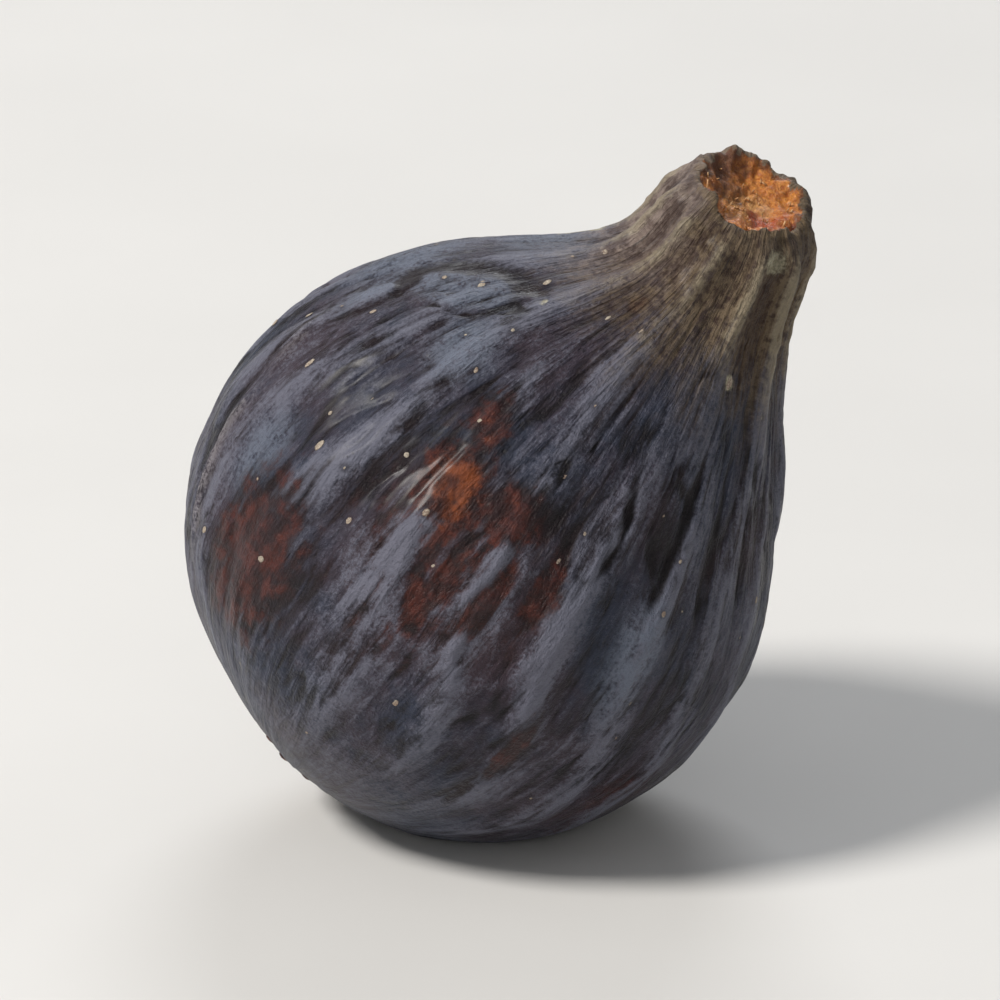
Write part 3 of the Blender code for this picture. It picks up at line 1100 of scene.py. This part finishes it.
def makeEyeScales(standing):
    draw = random.Random(eyeScales["seed"])
    shape = bmesh.new()
    narrowing, power = eyeScales["narrowing"]
    for count, middle, halfWidth, halfLength, out, first in eyeScales["whorls"]:
        for index in range(count):
            scale = bmesh.ops.create_uvsphere(shape, u_segments=14, v_segments=10, radius=1.0)["verts"]
            for vert in scale:
                # y runs towards the middle of the eye, and the tip narrows and dips in
                tip = (vert.co.y + 1.0) / 2.0
                vert.co.x *= 1.0 - narrowing * tip**power
                dip = eyeScales["dips"] * (tip**2 + eyeScales["hollow"] * vert.co.x**2)
                vert.co.z = vert.co.z * eyeScales["thickness"] / (halfLength * mm) + dip
            size = 1.0 + eyeScales["uneven"] * draw.uniform(-1.0, 1.0)
            sizes = Matrix.Diagonal((halfWidth * mm * size, halfLength * mm * size, halfLength * mm, 1.0))
            around = first + math.tau * index / count + eyeScales["swing"] * draw.uniform(-1.0, 1.0)
            inwards = Matrix.Rotation(around, 4, "Z") @ Matrix.Rotation(math.radians(90.0), 4, "Z")
            spot = Vector((middle * math.cos(around), middle * math.sin(around), -out)) * mm
            matrix = standing @ Matrix.Translation(spot) @ inwards @ sizes
            bmesh.ops.transform(shape, matrix=matrix, verts=scale)
    bmesh.ops.recalc_face_normals(shape, faces=shape.faces)
    piece = addPiece("fig_eye_scales", shape, [eyeFinish()])
    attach(piece, "root")
    print("eye scales made")


def eyeFinish():
    finish = Finish("fig_eye_scales")
    tone = finish.cloud(0.9 * mm, 4.0, 0.6)
    fine = finish.cloud(0.2 * mm, 3.0)
    colour = finish.mix(finish.step(-0.12, 0.12, tone), paint(60, 40, 43), paint(106, 74, 60))
    colour = finish.mix(finish.step(0.04, 0.25, fine + 0.5 * tone), colour, paint(146, 116, 88))
    finish.surface({
        "Base Color": colour,
        "Roughness": 0.6 + 0.3 * fine,
        "Normal": finish.bump(tone + 0.4 * fine, 0.12 * mm),
    })
    return finish.material


# Torn fibres that stand out of the cut

fibres = {
    "seed": 23,
    "count": 34,
    "radii": (1.2, 4.4),
    "inside": 0.3,  # mm from the skin's torn edge
    "thickness": (0.07, 0.15),  # mm
    "length": (0.25, 0.9),
    "taper": 0.45,
    "standing": 0.3,  # share of the length that the middle stands above the flesh
    "lean": 38.0,  # degrees at most
}


def makeFibres(skinPiece):
    draw = random.Random(fibres["seed"])
    mesh = skinPiece.data
    radii = mesh.attributes["radius"].data
    torn = mesh.attributes["torn"].data
    low, high = fibres["radii"]
    flesh = [
        index
        for index in range(len(mesh.vertices))
        if torn[index].value > fibres["inside"] and low < radii[index].value < high
    ]
    shape = bmesh.new()
    for _ in range(fibres["count"]):
        vertex = mesh.vertices[draw.choice(flesh)]
        thickness = draw.uniform(*fibres["thickness"]) * mm
        length = draw.uniform(*fibres["length"]) * mm
        tip = fibres["taper"] * thickness
        fibre = bmesh.ops.create_cone(
            shape, cap_ends=True, segments=6, radius1=thickness, radius2=tip, depth=length
        )["verts"]
        lean = Matrix.Rotation(math.radians(draw.uniform(0.0, fibres["lean"])), 4, "X")
        spin = Matrix.Rotation(draw.uniform(0.0, math.tau), 4, "Z")
        upright = vertex.normal.to_track_quat("Z", "Y").to_matrix().to_4x4()
        lift = Matrix.Translation((0.0, 0.0, fibres["standing"] * length))
        matrix = Matrix.Translation(vertex.co) @ upright @ spin @ lean @ lift
        bmesh.ops.transform(shape, matrix=matrix, verts=fibre)
    piece = addPiece("fig_cut_fibres", shape, [fibreFinish()])
    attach(piece, "root")
    print("torn fibres made")


def fibreFinish():
    finish = Finish("fig_cut_fibres")
    tone = finish.cloud(0.5 * mm, 3.0)
    colour = finish.mix(finish.step(-0.15, 0.15, tone), paint(162, 110, 64), paint(200, 160, 114))
    finish.surface({"Base Color": colour, "Roughness": 0.5 + 0.3 * tone})
    return finish.material


# Studio: a pale floor, soft lights and the camera

studio = {
    "floorFlat": (0.5, 1.7),  # the floor is flat out to the second radius, and curves up past it
    "wallCurve": 0.9,
    "wallSteps": 12,
    "wallHeight": 1.9,
    "floorAround": 96,
    "floorTones": ((0.66, 0.65, 0.63, 1.0), (0.69, 0.68, 0.66, 1.0)),
    "lights": (
        # name, place, size, power, colour
        ("key", (-0.85, -0.40, 1.10), 0.38, 21.0, (1.0, 0.97, 0.93)),
        ("back", (0.10, 1.10, 0.90), 0.60, 6.5, (0.95, 0.97, 1.0)),
        ("front", (-0.10, -1.40, 0.50), 0.70, 2.2, (0.93, 0.96, 1.0)),
    ),
    "worldColour": (0.92, 0.95, 1.0, 1.0),
    "worldLight": 0.30,
    "elevation": math.radians(20.0),
    "distance": 1.4,
    "frameWidth": 94.0 * mm,
    "target": Vector((2.7, 0.0, 31.0)) * mm,
}


def floorFinish():
    finish = Finish("studio_floor")
    tone = finish.cloud(60.0 * mm, 3.0)
    finish.surface({
        "Base Color": finish.mix(finish.step(-0.3, 0.3, tone), *studio["floorTones"]),
        "Roughness": 0.65,
        "Specular IOR Level": 0.3,
    })
    return finish.material


def makeFloor():
    shape = bmesh.new()
    curve = studio["wallCurve"]
    steps = studio["wallSteps"]
    inner, outer = studio["floorFlat"]
    profile = [(0.0, 0.0), (inner, 0.0), (outer, 0.0)]
    for step in range(1, steps + 1):
        turned = math.radians(90.0) * step / steps
        profile.append((outer + curve * math.sin(turned), curve * (1.0 - math.cos(turned))))
    profile.append((outer + curve, studio["wallHeight"]))
    outline = [shape.verts.new((across, 0.0, up)) for across, up in profile]
    spinOutline(shape, outline, studio["floorAround"], 0.01 * mm)
    bmesh.ops.reverse_faces(shape, faces=shape.faces)
    floor = addPiece("studio_floor", shape, [floorFinish()])


def makeLights():
    scene = bpy.context.scene
    for name, place, size, power, colour in studio["lights"]:
        light = bpy.data.lights.new("studio_" + name, "AREA")
        light.shape = "DISK"
        light.size = size
        light.energy = power
        light.color = colour
        lamp = bpy.data.objects.new("studio_" + name, light)
        lamp.location = place
        lamp.rotation_euler = (studio["target"] - Vector(place)).to_track_quat("-Z", "Y").to_euler()
        scene.collection.objects.link(lamp)
    world = bpy.data.worlds.new("studio_world")
    world.use_nodes = True
    background = world.node_tree.nodes["Background"]
    background.inputs["Color"].default_value = studio["worldColour"]
    background.inputs["Strength"].default_value = studio["worldLight"]
    scene.world = world
    scene.view_settings.view_transform = "Standard"


def makeCamera():
    scene = bpy.context.scene
    camera = bpy.data.cameras.new("camera")
    camera.lens = camera.sensor_width * studio["distance"] / studio["frameWidth"]
    cameraObject = bpy.data.objects.new("camera", camera)
    back = Vector((0.0, -math.cos(studio["elevation"]), math.sin(studio["elevation"])))
    cameraObject.location = studio["target"] + back * studio["distance"]
    cameraObject.rotation_euler = (-back).to_track_quat("-Z", "Y").to_euler()
    scene.collection.objects.link(cameraObject)
    scene.camera = cameraObject


makeFloor()
makeLights()
makeCamera()
print("studio made")
skinPiece, standing = makeSkin()
makeSpecks(skinPiece)
makeEyeScales(standing)
makeFibres(skinPiece)
